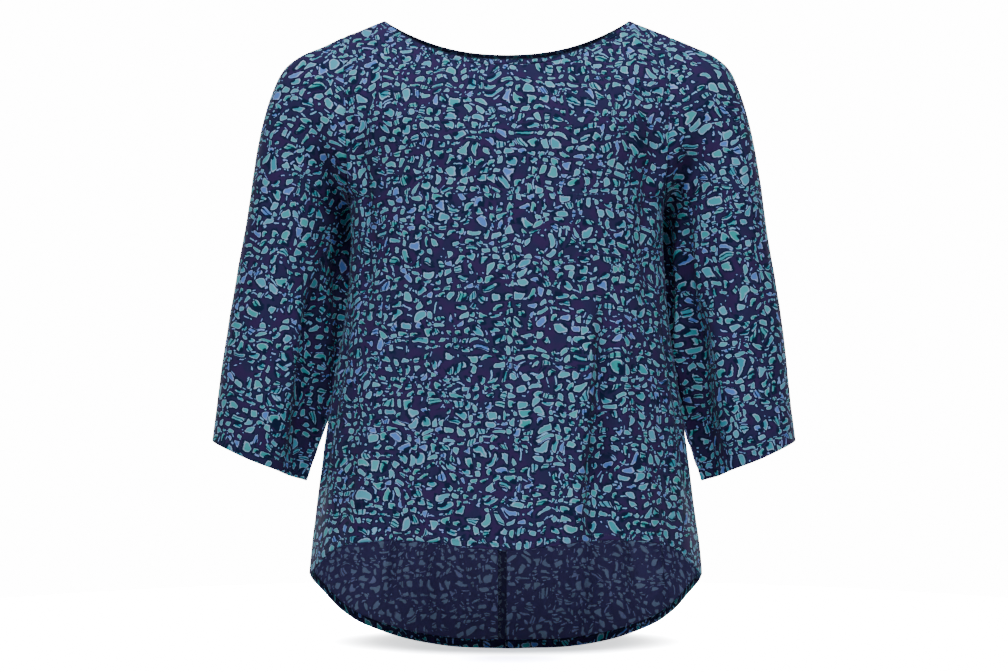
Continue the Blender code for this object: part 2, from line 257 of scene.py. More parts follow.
def creases(points, lines):
    # trough with a low ridge on each side along a line in the front view: x0 z0 x1 z1 depth width bend
    total = 0
    x, z = points[..., 0] / mm, points[..., 2] / mm
    for x0, z0, x1, z1, depth, width, bend in lines:
        dx, dz = x1 - x0, z1 - z0
        length = (dx * dx + dz * dz) ** 0.5
        t = ((x - x0) * dx + (z - z0) * dz) / length ** 2
        off = ((x - x0) * dz - (z - z0) * dx) / length + bend * 4 * t * (1 - t)
        off = off / (width * (0.7 + 0.6 * np.clip(t, 0, 1)))
        shown = ease(t / 0.3) * ease((1 - t) / 0.4)
        total = total + depth * shown * (1 - off * off) * np.exp(-off * off / 2)
    return total


def runAlong(points, axis):
    steps = np.linalg.norm(np.diff(points, axis=axis), axis=-1)
    pad = [(1, 0) if k == axis else (0, 0) for k in range(2)]
    return np.cumsum(np.pad(steps, pad), axis=axis)


def finishSurface(points, seed, lines):
    # soften the form with waves and creases, and let it dip and pucker a little at its seams
    normal = outwardOf(points)
    acrossRun, upRun = runAlong(points, 1), runAlong(points, 0)
    reach = np.full(points.shape[:2], 1.0)
    near = {"left": acrossRun, "right": acrossRun[:, -1:] - acrossRun, "top": upRun[-1:] - upRun}
    pucker = 0
    for edge in seamEdges:
        reach = np.minimum(reach, near[edge])
        run = upRun if edge != "top" else acrossRun
        waves = np.sin(run / 0.0062 + 2.2 * np.sin(run / 0.027 + seed)) * np.sin(run / 0.05 + seed)
        pucker = pucker + waves * np.exp(-near[edge] / 0.009) * ease(near[edge] / 0.003)
    inner = ease(reach / 0.02)
    out = 0
    for height, size, draw in cloth["waves"]:
        out = out + height * ripple(points, size, draw) * inner
    out = out + cloth["pucker"] * pucker - cloth["seamDip"] * np.exp(-(reach / 0.0022) ** 2)
    out = out - creases(points, lines) * inner
    return points + normal * out[..., None] * mm


def flatten(points, start, rounds=500):
    # lay the piece flat: its threads keep the lengths that they have on the garment
    rows, columns = [np.unique(np.linspace(0, size - 1, most).astype(int))
                     for size, most in zip(points.shape[:2], density["flat"])]
    onForm, flat = points[np.ix_(rows, columns)], start[np.ix_(rows, columns)].copy()
    here, ahead, full = slice(None, -1), slice(1, None), slice(None)
    links = [((full, here), (full, ahead)), ((here, full), (ahead, full)),
             ((here, here), (ahead, ahead)), ((here, ahead), (ahead, here))]
    rest = [np.linalg.norm(onForm[b] - onForm[a], axis=-1) for a, b in links]
    for _ in range(rounds):
        push, count = np.zeros_like(flat), np.zeros(flat.shape[:2])
        for (a, b), length in zip(links, rest):
            way = flat[b] - flat[a]
            now = np.maximum(np.linalg.norm(way, axis=-1), 1e-9)
            fix = way * (0.5 * (1 - length / now))[..., None]
            push[a] += fix
            push[b] -= fix
            count[a] += 1
            count[b] += 1
        flat += 1.6 * push / count[..., None]
    wide = np.stack([[np.interp(np.arange(points.shape[1]), columns, row[:, k]) for row in flat]
                     for k in range(2)], -1)
    return np.stack([[np.interp(np.arange(points.shape[0]), rows, wide[:, c, k])
                      for c in range(points.shape[1])] for k in range(2)], -1).transpose(1, 0, 2)


def cutOf(points, axis, middle):
    # first guess of the flat piece: lengths round the form from its middle column, and along the axis
    axis = np.array(axis, float) / np.linalg.norm(axis)
    across = np.array((axis[2], 0, -axis[0]))
    steps = np.diff(points, axis=1)
    steps = steps - (steps @ axis)[..., None] * axis
    run = np.cumsum(np.pad(np.linalg.norm(steps, axis=-1), [(0, 0), (1, 0)]), axis=1)
    u = run - run[:, middle:middle + 1]
    u = u + (points[:, middle] @ across)[:, None]
    return np.stack([u, points @ axis], -1)


def flatArea(cut):
    # half of each cell's crossed diagonals, all added up
    a, b = cut[1:, 1:] - cut[:-1, :-1], cut[1:, :-1] - cut[:-1, 1:]
    return float(np.abs(a[..., 0] * b[..., 1] - a[..., 1] * b[..., 0]).sum() / 2)


def meshOf(name, points, cut, material):
    rows, columns = points.shape[:2]
    index = np.arange(rows * columns).reshape(rows, columns)
    quads = np.stack([index[:-1, :-1], index[:-1, 1:], index[1:, 1:], index[1:, :-1]], -1).reshape(-1, 4)
    mesh = bpy.data.meshes.new(name)
    mesh.from_pydata(points.reshape(-1, 3).tolist(), [], quads.tolist())
    flat = cut.reshape(-1, 2)[quads.ravel()]
    low, high = flat.min(0), flat.max(0)
    bake = 0.01 + 0.98 * (flat - low) / (high - low).max()
    for title, values in (("cut", flat), ("OFBake", bake)):
        layer = mesh.uv_layers.new(name=title)
        layer.data.foreach_set("uv", values.astype(np.float32).ravel())
    return placed(name, mesh, material)


def placed(name, mesh, material):
    mesh.shade_smooth()
    mesh.set_sharp_from_angle(angle=radians(48))
    mesh.materials.append(material)
    piece = bpy.data.objects.new(name, mesh)
    bpy.context.scene.collection.objects.link(piece)
    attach(piece, "root")
    return piece


class Wire:
    # a socket that Python's operators work on, each by its Math node
    def __init__(self, tree, socket=None):
        self.tree = tree
        self.socket = socket

    def add(self, kind, settings=None, inputs=None, out=0):
        node = self.tree.nodes.new("ShaderNode" + kind)
        for key, value in (settings or {}).items():
            setattr(node, key, value)
        for key, value in (inputs or {}).items():
            if isinstance(value, Wire):
                self.tree.links.new(value.socket, node.inputs[key])
            else:
                node.inputs[key].default_value = value
        return Wire(self.tree, node.outputs[out])

    def out(self, name):
        return Wire(self.tree, self.socket.node.outputs[name])

    def sum(self, operation, *values):
        return self.add("Math", {"operation": operation}, dict(enumerate(values)))

    def __add__(self, other):
        return self.sum("ADD", self, other)

    def __radd__(self, other):
        return self.sum("ADD", other, self)

    def __sub__(self, other):
        return self.sum("SUBTRACT", self, other)

    def __rsub__(self, other):
        return self.sum("SUBTRACT", other, self)

    def __mul__(self, other):
        return self.sum("MULTIPLY", self, other)

    def __rmul__(self, other):
        return self.sum("MULTIPLY", other, self)

    def __truediv__(self, other):
        return self.sum("DIVIDE", self, other)

    def __pow__(self, other):
        return self.sum("POWER", self, other)

    def __abs__(self):
        return self.sum("ABSOLUTE", self)

    def __gt__(self, other):
        return self.sum("GREATER_THAN", self, other)

    def __lt__(self, other):
        return self.sum("LESS_THAN", self, other)

    def floor(self):
        return self.sum("FLOOR", self)

    def most(self, other):
        return self.sum("MAXIMUM", self, other)

    def fade(self, start, end):
        # 0 at start, 1 at end, soft in between
        return self.add("MapRange", {"interpolation_type": "SMOOTHSTEP"},
                        {"Value": self, "From Min": start, "From Max": end})

    def mixed(self, first, second, share=None):
        # this value's share, or a fixed one, of the second colour over the first one
        inputs = {"Factor": self if share is None else share, "A": first, "B": second}
        node = self.tree.nodes.new("ShaderNodeMix")
        node.data_type = "RGBA"
        for key, value in inputs.items():
            sort = "Float" if key == "Factor" else "Color"
            socket = next(s for s in node.inputs if s.identifier == f"{key}_{sort}")
            if isinstance(value, Wire):
                self.tree.links.new(value.socket, socket)
            else:
                socket.default_value = value
        return Wire(self.tree, next(s for s in node.outputs if s.identifier == "Result_Color"))


def tint(red, green, blue):
    # a colour as a screen gives it, 0 to 255
    values = [value / 255 for value in (red, green, blue)]
    return (*[v / 12.92 if v <= 0.04045 else ((v + 0.055) / 1.055) ** 2.4 for v in values], 1)


printLook = {
    "edge": (1.35, 0.75),
    "ground": tint(38, 37, 77),
    "violet": tint(48, 33, 80),
    "shade": tint(0, 27, 56),  # round the dabs
    "teal": tint(54, 148, 176),
    "seaGreen": tint(46, 158, 158),
    "pale": tint(132, 196, 236),
    "rimColour": tint(184, 200, 242),
    "lilac": tint(140, 162, 236),
    "periwinkle": tint(84, 128, 208),
    "pitch": (12.8, 10.0),  # of the loose grid of dabs, in mm
    "jitter": (2.4, 1.8),
    "halfWide": (2.2, 3.1),  # least, and how much more
    "halfTall": (1.8, 2.25),
    "lean": 0.6,
    "barPitch": 3.9,
    "missing": 0.08,
    "bars": 0.24,  # share of the dabs that is broken into bars
    "notched": 0.5,
    "accents": 0.11,
    "rim": 0.8,
    "drifts": [(0.021, 1.0, 20.0), (0.055, 0.0, 13.0), (0.36, 2.0, 2.0)],  # scale, detail, size in mm
    "marks": [(5.3, 4.2, 9.7, 8.6, 51, 0.6), (2.1, 7.4, 8.4, 9.6, 71, 0.5)],  # shift, pitch, seed, share
    "markLong": (0.85, 2.8),  # half the size of a mark: least, and how much more
    "markThin": (0.55, 0.5),
    "markLean": 1.1,
}


def cellRandom(wire, column, row, seed):
    place = wire.add("CombineXYZ", None, {"X": column, "Y": row, "Z": float(seed)})
    noise = wire.add("TexWhiteNoise", {"noise_dimensions": "3D"}, {"Vector": place}, out="Color")
    split = wire.add("SeparateXYZ", None, {"Vector": noise})
    return split, split.out("Y"), split.out("Z")


def cellOf(x, y, wide, tall, seed):
    # a loose grid whose rows are shifted: where a place is in its cell, in mm, and the cell's numbers
    row = (y / tall).floor()
    shift, _, _ = cellRandom(x, 0.0, row, seed)
    column = ((x / wide) + shift).floor()
    r1, r2, r3 = cellRandom(x, column, row, seed + 1)
    u = ((x / wide) + shift - column - 0.5) * wide + (r1 - 0.5) * printLook["jitter"][0]
    v = (y / tall - row - 0.5) * tall + (r2 - 0.5) * printLook["jitter"][1]
    return u, v, column, row, r3


def printOf(wire, turn, edge):
    # the dab print on the flat cut: its colour, the share of ink, and the place on the cut in mm
    look = printLook
    cut = wire.add("UVMap", {"uv_map": "cut"})
    cut = wire.add("VectorMath", {"operation": "SCALE"}, {"Vector": cut, "Scale": 1000.0})
    if turn:
        turned = {"Vector": cut, "Angle": radians(turn)}
        cut = wire.add("VectorRotate", {"rotation_type": "Z_AXIS"}, turned)
    x = wire.add("SeparateXYZ", None, {"Vector": cut})
    y = x.out("Y")
    drifts = []
    for scale, detail, size in look["drifts"]:  # slow, middling, and the wobble of each edge
        noise = wire.add("TexNoise", None, {"Vector": cut, "Scale": scale, "Detail": detail}, out="Color")
        drift = wire.add("SeparateXYZ", None, {"Vector": noise})
        x = x + (drift - 0.5) * size
        y = y + (drift.out("Y") - 0.5) * size
        drifts.append(drift)

    # dabs: leaning blocks and wedges, some with a notch, some broken into bars
    u, v, column, row, r3 = cellOf(x, y, *look["pitch"], 11)
    r4, r5, r6 = cellRandom(wire, column, row, 21)
    r7, r8, r9 = cellRandom(wire, column, row, 22)
    lean = (r5 - 0.5) * look["lean"]
    u, v = u + v * lean, v - u * lean
    wide = look["halfWide"][0] + look["halfWide"][1] * r3
    tall = look["halfTall"][0] + look["halfTall"][1] * r4
    wedge = 1 + (r9 - 0.5) * u / wide
    there = r6 > look["missing"]
    far = (abs(u) / wide) ** 4.0 + (abs(v) / (tall * wedge)) ** 4.0
    dab = far.fade(*edge) * there
    hand = (r7 > 0.5) * 2 - 1
    biteX = (u - wide * hand * 0.75) / (wide * 0.8)
    biteY = (v + tall * hand * 0.8) / (tall * 0.9)
    bite = biteX ** 2.0 + biteY ** 2.0
    dab = dab * bite.fade(0.75, 1.15).most(r8 > look["notched"])
    step = (v + (u - v) * (r5 > 0.55)) / look["barPitch"] + r7
    bar = abs(step - step.floor() - 0.5).fade(0.4, 0.27)
    dab = dab * bar.most(r6 < 1 - look["bars"])
    near = far.fade(3.4, 2.0) * there
    around = far.fade(9.0, 2.0) * there

    # short marks between the dabs, some upright
    marks = None
    for shiftX, shiftY, pitchX, pitchY, seed, share in look["marks"]:
        u2, v2, column2, row2, s3 = cellOf(x + shiftX, y + shiftY, pitchX, pitchY, seed)
        s4, s5, s6 = cellRandom(wire, column2, row2, seed + 10)
        lean = (s5 - 0.5) * look["markLean"]
        u2, v2 = u2 + v2 * lean, v2 - u2 * lean
        upright = s4 > 0.55
        longWay = u2 + (v2 - u2) * upright
        thinWay = v2 + (u2 - v2) * upright
        halfLong = look["markLong"][0] + look["markLong"][1] * s3 * s3
        halfThin = look["markThin"][0] + look["markThin"][1] * s6
        far2 = (abs(longWay) / halfLong) ** 4.0 + (abs(thinWay) / halfThin) ** 4.0
        mark = far2.fade(1.5, 0.7) * (s5 < share) * (1 - near)
        marks = mark if marks is None else mark.most(marks)
        around = around.most(far2.fade(45.0, 4.0) * (s5 < share) * 0.7)

    colour = r7.mixed(look["teal"], look["seaGreen"])
    colour = (r8 * r8 * 0.3).mixed(colour, look["pale"])
    colour = (r9 > 1 - look["accents"]).mixed(colour, look["periwinkle"])
    colour = (far.fade(0.15, 0.95) * look["rim"]).mixed(colour, look["rimColour"])
    ground = drifts[1].out("Z").fade(0.38, 0.62).mixed(look["ground"], look["violet"])
    ground = (around * 0.9).mixed(ground, look["shade"])
    printed = (marks * 0.9).mixed(ground, s6.mixed(look["lilac"], look["pale"]))
    printed = dab.mixed(printed, colour)
    return printed, dab.most(marks), cut


clothLook = {"roughness": 0.82, "sheen": 0.03, "sheenRoughness": 0.45, "gloss": 0.12, "crepe": 0.22}
# the wrong side's print is paler than the right side's, and its ground and dab colours are lifted further
# as painted light, brighter than the cloth itself, to make up for the dim light inside the garment
wrongSide = {
    "ground": tint(98, 94, 156),
    "dab": tint(168, 178, 226),
    "share": 0.72,
    "edge": (1.15, 0.3),
    # painted shade: the dark colour laid over the seam allowances and the binding's folded edge
    "deep": tint(14, 18, 40),
}


def newMaterial(name):
    material = bpy.data.materials.new(name)
    material.use_nodes = True
    shader = material.node_tree.nodes["Principled BSDF"]
    return material, shader, Wire(material.node_tree)


def clothMaterial(name, wrong=False, turn=0.0, paintedShadeShare=0.0, paintedEdgeShadeFrom=None):
    material, shader, wire = newMaterial(name)
    colour, ink, cut = printOf(wire, turn, (wrongSide if wrong else printLook)["edge"])
    if wrong:
        washed = ink.mixed(wrongSide["ground"], wrongSide["dab"])
        colour = wire.mixed(colour, washed, wrongSide["share"])
    # painted shade: this share of the dark colour is mixed over the whole piece
    if paintedShadeShare:
        colour = wire.mixed(colour, wrongSide["deep"], paintedShadeShare)
    if paintedEdgeShadeFrom:  # painted shade: past this height of its cut the binding is darkened, over the top of its outer face, the folded neck edge and its inner side
        height = wire.add("SeparateXYZ", None, {"Vector": wire.add("UVMap", {"uv_map": "cut"})}).out("Y")
        colour = (height.fade(paintedEdgeShadeFrom[0] * mm, paintedEdgeShadeFrom[1] * mm) * 0.85).mixed(colour, wrongSide["deep"])
    crepe = wire.add("TexNoise", None, {"Vector": cut, "Scale": 1.3, "Detail": 3.0, "Roughness": 0.6})
    threads = wire.add("TexWave", {"wave_type": "BANDS", "bands_direction": "X"},
                       {"Vector": cut, "Scale": 0.9, "Distortion": 1.2, "Detail": 1.0})
    height = crepe * 0.7 + threads.out("Fac") * 0.3
    bump = wire.add("Bump", None, {"Strength": clothLook["crepe"], "Distance": 0.0004, "Height": height})
    shader.inputs["Sheen Weight"].default_value = clothLook["sheen"]
    shader.inputs["Sheen Roughness"].default_value = clothLook["sheenRoughness"]
    shader.inputs["Specular IOR Level"].default_value = clothLook["gloss"]
    rough = clothLook["roughness"] + 0.1 * crepe - 0.06 * ink
    for key, value in (("Base Color", colour), ("Roughness", rough), ("Normal", bump)):
        wire.tree.links.new(value.socket, shader.inputs[key])
    return material


def threadMaterial(name, colour):
    material, shader, wire = newMaterial(name)
    place = wire.add("TexCoord", out="Object")
    fibre = wire.add("TexNoise", None, {"Vector": place, "Scale": 2400.0, "Detail": 2.0})
    shade = fibre.fade(0.3, 0.7).mixed(tint(*[c * 0.75 for c in colour]), tint(*colour))
    bump = wire.add("Bump", None, {"Strength": 0.3, "Distance": 0.0002, "Height": fibre})
    shader.inputs["Roughness"].default_value = 0.6
    for key, value in (("Base Color", shade), ("Normal", bump)):
        wire.tree.links.new(value.socket, shader.inputs[key])
    return material


rightSide = clothMaterial("printed_right_side")
insideCloth = clothMaterial("printed_wrong_side", wrong=True)
# the seam allowances get painted shade: their wrong side print is darkened for the shade they lie in
# inside the garment
allowanceCloth = clothMaterial("seam_allowance", wrong=True, paintedShadeShare=0.6)
# the binding's folded edge and inner side get painted shade
bindingCloth = clothMaterial("bias_binding", turn=43.0, paintedEdgeShadeFrom=(4.6, 5.8))
hemThread = threadMaterial("hem_thread", (70, 84, 118))
overlockThread = threadMaterial("overlock_thread", (158, 166, 192))
print("materials made")


def stitches(name, runs, material, pitch=2.7, length=2.0, thick=0.17, slant=0.0):
    # rounded stitches; a run is its points, the way outward and, for stitches across it, the way across
    ring = np.array([(0, 1), (0.9, 0.3), (0.6, -0.5), (-0.6, -0.5), (-0.9, 0.3)]) * thick
    sections = [(-0.5, 0.35), (-0.3, 0.9), (0, 1.0), (0.3, 0.9), (0.5, 0.35)]
    sides = len(ring)
    lastRing = sides * (len(sections) - 1)
    points, faces = [], []
    for line, outward, *across in runs:
        run = np.concatenate([[0], np.cumsum(np.linalg.norm(np.diff(line, axis=0), axis=1))])
        spots = np.arange(pitch * mm, run[-1] - pitch * mm, pitch * mm)
        for k, spot in enumerate(spots):
            here, ahead = [np.array([np.interp(s, run, line[:, i]) for i in range(3)])
                           for s in (spot, spot + 0.001)]
            up = unit(np.array([np.interp(spot, run, outward[:, i]) for i in range(3)]))
            way = unit(ahead - here)
            if across:
                way = unit(unit(np.array([np.interp(spot, run, across[0][:, i]) for i in range(3)]))
                           + way * slant * (1 if k % 2 else -1))
            sideways = np.cross(way, up)
            first = len(points)
            for place, size in sections:
                for a, b in ring * size:
                    off = way * place * length + sideways * a + up * (b + thick * 0.4)
                    points.append(here + off * mm)
            for j in range(0, lastRing, sides):
                for i in range(sides):
                    a, b = first + j + i, first + j + (i + 1) % sides
                    faces.append([a, b, b + sides, a + sides])
            faces.append([first + i for i in reversed(range(sides))])
            faces.append([first + lastRing + i for i in range(sides)])
    mesh = bpy.data.meshes.new(name)
    mesh.from_pydata(np.array(points).tolist(), [], faces)
    count = len(faces) // (lastRing + 2)
    wide = int(np.ceil(count ** 0.5))
    layer = mesh.uv_layers.new(name="OFBake")  # a square to each stitch, its corners in rows of nine
    corner = np.arange(len(mesh.loops) // count)
    cell = np.stack([0.15 + 0.7 * (corner % 9) / 9, 0.15 + 0.7 * (corner // 9) / 10], -1)
    bake = [(cell + (k % wide, k // wide)) / wide for k in range(count)]
    layer.data.foreach_set("uv", np.concatenate(bake).astype(np.float32).ravel())
    return placed(name, mesh, material)


def shell(name, points, cut, seams, strips):
    # right side with its turned hem, and the wrong side behind it
    normal = outwardOf(points)
    inner = points - normal * cloth["thick"] * mm
    hem = cloth["hemRows"]
    up = unit(points[1] - points[0])
    half = cloth["hemThick"] / 2 * mm
    centre = points[0] - normal[0] * half + up * half
    rows = [inner[hem] + unit(points[hem + 1] - points[hem]) * 0.5 * mm]
    past = [np.linalg.norm(cut[hem] - cut[0], axis=-1) + 0.003]  # the edge of the hem, on the flat cut
    for k in range(hem, 0, -1):
        rows.append(points[k] - normal[k] * cloth["hemThick"] * mm)
        past.append(np.linalg.norm(cut[k] - cut[0], axis=-1) + 0.0015)
    for turn in (150, 120, 90, 60, 30):
        angle = radians(turn)
        rows.append(centre + (normal[0] * np.cos(angle) - up * np.sin(angle)) * half)
        past.append(np.full(len(up), 0.001 * turn / 150))
    step = unit(cut[1] - cut[0])
    flatRows = [cut[0] - step * run[:, None] for run in past]
    grid = np.concatenate([rows, points[1:]])
    flat = np.concatenate([flatRows, cut[1:]])

    # the rim turns in at each seam
    left, right, top = [int(edge in seams) for edge in seamEdges]
    pad = [(0, top), (left, right), (0, 0)]
    outside = np.pad(np.concatenate([rows, inner[1:]]), pad, mode="edge")
    outside[:len(grid), left:left + grid.shape[1]] = grid
    flat = np.pad(flat, pad, mode="reflect", reflect_type="odd")
    piece = meshOf(name + "_cloth", outside, flat, rightSide)
    inside = meshOf(name + "_wrong_side", inner[hem - 1:, ::-1], cut[hem - 1:, ::-1], insideCloth)
    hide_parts(name)
    return {"name": name, "piece": piece, "inside": inside, "strips": strips, "points": points,
            "normal": normal, "size": np.ptp(cut.reshape(-1, 2), axis=0), "area": flatArea(cut)}


allowanceForm = {
    "steps": np.array([-1.4, 0, 0.6, 1.4, 2.6, 4.0, 5.4, 6.8, 8.0, 8.7, 9.0]),  # from the seam
    "lift": np.array([0.1, 0.35, 0.7, 0.85, 0.9, 0.9, 0.9, 0.9, 0.85, 0.7, 0.35]),  # off the wrong side
    "stitched": 7,  # the step that the overlock stitches lie over
}
seamRuns = []


def allowance(name, points, edge, first, last):
    # the two raw edges of a seam, overlocked together and pressed over the wrong side of this piece
    normal = outwardOf(points)
    inner = points - normal * cloth["thick"] * mm
    if edge == "top":
        inner, normal = inner[::-1].transpose(1, 0, 2), normal[::-1].transpose(1, 0, 2)
    elif edge == "right":
        inner, normal = inner[:, ::-1], normal[:, ::-1]
    inner, normal = inner[first:last], normal[first:last]
    run = runAlong(inner, 1) / mm
    steps, lift, stitched = [allowanceForm[key] for key in ("steps", "lift", "stitched")]
    grid, outward = [], []
    for k in range(len(inner)):
        at = np.stack([np.interp(steps, run[k], inner[k, :, i]) for i in range(3)], -1)
        out = unit(np.stack([np.interp(steps, run[k], normal[k, :, i]) for i in range(3)], -1))
        at[0] += unit(inner[k, 2] - inner[k, 0]) * steps[0] * mm
        grid.append(at - out * lift[:, None] * mm)
        outward.append(out)
    grid, outward = np.array(grid), np.array(outward)
    flat = np.stack(np.broadcast_arrays(steps * mm, runAlong(grid, 0)[:, 1:2]), -1)
    across = grid[:, stitched + 1] - grid[:, stitched - 1]
    seamRuns.append((grid[:, stitched], -outward[:, stitched], across))
    turn = -1 if edge != "right" else 1
    return meshOf(name + "_seam_allowance", grid[:, ::turn], flat[:, ::turn], allowanceCloth)


def bodyRises():
    # heights of the rows: the turned hem, the skirt up to the underarm, then the chest
    below = side["underarmZ"] - side["cornerZ"]
    hem = [-1 + step / below for step in cloth["hemSteps"]]
    skirt = np.linspace(hem[-1], 0, density["skirtRows"])[1:]
    turns = np.linspace(0, pi, density["chestRows"])[1:]
    return np.array([*hem, *skirt, *((1 - np.cos(turns)) / 2)])


def halfColumns():
    # from the middle to the side seam, with a column where the neck edge ends
    corner = np.arcsin(((neck["half"] + binding["tall"]) / neck["tipX"]) ** (side["squareness"] / 2))
    near = radians(1.2)
    edge = pi / 2
    turns = [0, *np.radians([0.35, 1.1, 2.0]), *np.linspace(radians(3.2), corner, density["neckColumns"]),
             *np.linspace(corner, edge - near, density["shoulderColumns"])[1:],
             edge - near * 0.55, edge - near * 0.22, edge]
    return np.sin(turns) ** (2 / side["squareness"])


def bodyPiece(name, front, columns, seed, lines):
    rises = bodyRises()
    columns = columns if front else columns[::-1]
    points = bodyPoint(front, columns[None, :], rises[:, None])
    gap = cloth["seamGap"] / 2 * mm
    below = rises <= 0
    for edge, inside in ((0, 1), (-1, -2)):  # hold the seams that little way apart
        if abs(columns[edge]) == 1:
            way = np.sign(points[below, inside, 1] - points[below, edge, 1])
            points[below, edge, 1] += gap * way
        else:
            points[:, edge, 0] += gap * np.sign(columns[inside] - columns[edge])
    atShoulder = np.abs(columns) * neck["tipX"] > neck["half"] + binding["tall"] - 1
    points[-1, atShoulder, 1] += gap * (-1 if front else 1)
    points = finishSurface(points, seed, lines)
    start = cutOf(points, (0, 0, 1), int(np.argmin(np.abs(columns))))
    up = runAlong(points, 0)
    level = int(np.argmin(np.abs(rises)))
    start[..., 1] = start[level, :, 1][None] + up - up[level:level + 1]
    cut = flatten(points, start) + seed * np.array(cloth["cutShift"])
    strips = []
    if not front:
        outer = "left" if columns[0] == 1 else "right"
        strips.append(allowance(name + "_side", points, outer, aboveHem, level + 2))
        shoulder = int(atShoulder.sum())
        ends = (0, shoulder) if outer == "left" else (len(columns) - shoulder, len(columns))
        strips.append(allowance(name + "_shoulder", points, "top", *ends))
        if outer == "right":
            strips.append(allowance("back_middle", points, "left", aboveHem, len(rises) - 2))
    return shell(name, points, cut, seamEdges, strips)


frontLines = [
    (-150, -62, -176, -190, 1.6, 9, 3), (150, -66, 174, -196, 1.6, 9, -3),
    (-128, -70, -170, -230, 1.0, 8, 5), (126, -72, 168, -240, 1.1, 8, -5),
    (-176, -214, -150, -330, 1.3, 8, -4), (175, -220, 150, -345, 1.3, 8, 4),
    (-90, -330, -128, -560, 1.2, 12, 6), (60, -380, 84, -590, -1.3, 12, -6),
    (-20, -420, -34, -596, 1.0, 14, 4), (168, -380, 190, -600, 1.5, 9, -4),
    (-168, -390, -190, -610, 1.4, 9, 4), (30, -120, -20, -300, 0.5, 22, 8),
    (108, -300, 92, -640, 15.0, 13, 4), (70, -470, 74, -625, -4.0, 12, 2),
]
backLines = [
    (-150, -60, -172, -200, 1.5, 9, 3), (150, -62, 172, -205, 1.5, 9, -3),
    (-120, -70, -160, -260, 1.0, 9, 5), (118, -74, 158, -250, 1.0, 9, -5),
    (-70, -300, -100, -700, 2.0, 14, 8), (66, -330, 96, -710, 2.2, 14, -8),
    (-30, -420, -44, -735, -1.6, 13, 5), (28, -400, 40, -735, -1.4, 13, -5),
    (-150, -380, -186, -690, 1.8, 11, 5), (150, -360, 188, -690, 1.8, 11, -5),
    (-110, -500, -140, -715, -1.3, 10, 3), (112, -470, 146, -712, -1.4, 10, -3),
]
half = halfColumns()
whole = np.concatenate([-half[:0:-1], half])
panels = [
    bodyPiece("front", True, whole, 1, frontLines),
    bodyPiece("back_right", False, half, 2, backLines),
    bodyPiece("back_left", False, -half[::-1], 3, backLines),
]
print("body pieces made")


def sleevePiece(name, hand, seed, lines):
    hem = [1 - step / side["sleeveLength"] for step in cloth["hemSteps"]]
    turns = np.linspace(0, pi / 2, density["sleeveRows"])[1:]
    alongs = np.array([*hem, *(hem[-1] * (1 - np.sin(turns) ** 1.12))])
    near = 1.6
    between = np.linspace(near * 2, 360 - near * 2, density["sleeveColumns"])
    phases = np.array([0, 0.5, near, *between, 360 - near, 359.5, 360])[::hand]
    points = sleevePoint(hand, phases[None, :], alongs[:, None])
    points[-1, :, 0] += hand * cloth["seamGap"] * mm
    points = finishSurface(points, seed, lines)
    start = cutOf(points, (-0.40 * hand, 0, 0.915), len(phases) // 2)
    cut = flatten(points, start) + seed * np.array(cloth["cutShift"])
    strips = [allowance(name + "_armhole", points, "top", 0, len(phases)),
              allowance(name + "_underarm", points, "left", aboveHem, len(alongs) - 3)]
    return shell(name, points, cut, ("top",), strips)


rightSleeveLines = [
    (188, -205, 232, -150, 1.6, 9, 4), (190, -232, 246, -190, 1.3, 9, 4),
    (246, -60, 262, -200, 1.0, 10, -4), (222, -300, 262, -500, 1.8, 8, -5),
    (205, -290, 226, -440, -1.4, 8, 3), (280, -230, 300, -420, 1.2, 9, 3),
    (206, -214, 296, -206, 0.8, 4, 2),
    (185, -225, 189, -480, 7.0, 9, 3), (208, -205, 226, -515, 11.0, 8, -5),
    (200, -400, 214, -540, 8.0, 14, 0), (216, -300, 236, -560, 16.0, 14, 0),
]
leftSleeveLines = [
    (-188, -205, -230, -152, 1.6, 9, -4), (-190, -236, -244, -196, 1.3, 9, -4),
    (-248, -64, -262, -190, 1.0, 10, 4), (-226, -310, -258, -490, 1.6, 8, 5),
    (-208, -300, -224, -450, -1.3, 8, -3), (-282, -220, -302, -400, 1.2, 9, -3),
    (-200, -246, -300, -250, 0.8, 4, 2),
    (-187, -222, -194, -500, 8.0, 11, -3), (-204, -200, -222, -520, 6.0, 15, 5),
    (-218, -280, -242, -560, 18.0, 15, 2),
]
panels.append(sleevePiece("sleeve_right", 1, 4, rightSleeveLines))
panels.append(sleevePiece("sleeve_left", -1, 5, leftSleeveLines))
print("sleeves made")


def neckRing(inset):
    # points round the neck opening at an inset down the cloth, and the way outward there
    share = np.sin(np.linspace(0, pi / 2, density["neckRing"]))
    quarters = ((True, 1, 1), (False, 1, -1), (False, -1, 1), (True, -1, -1))  # front, hand, order
    rings = []
    for shift in (inset - 0.5, inset, inset + 0.5):
        across = share * (neck["half"] + shift) / neck["tipX"]
        rings.append(np.concatenate([bodyPoint(front, hand * across, 1.0, shift)[::order][:-1]
                                     for front, hand, order in quarters]))
    above, ring, below = rings
    ahead = np.roll(ring, -1, 0) - np.roll(ring, 1, 0)
    return ring, unit(np.cross(ahead, above - below))


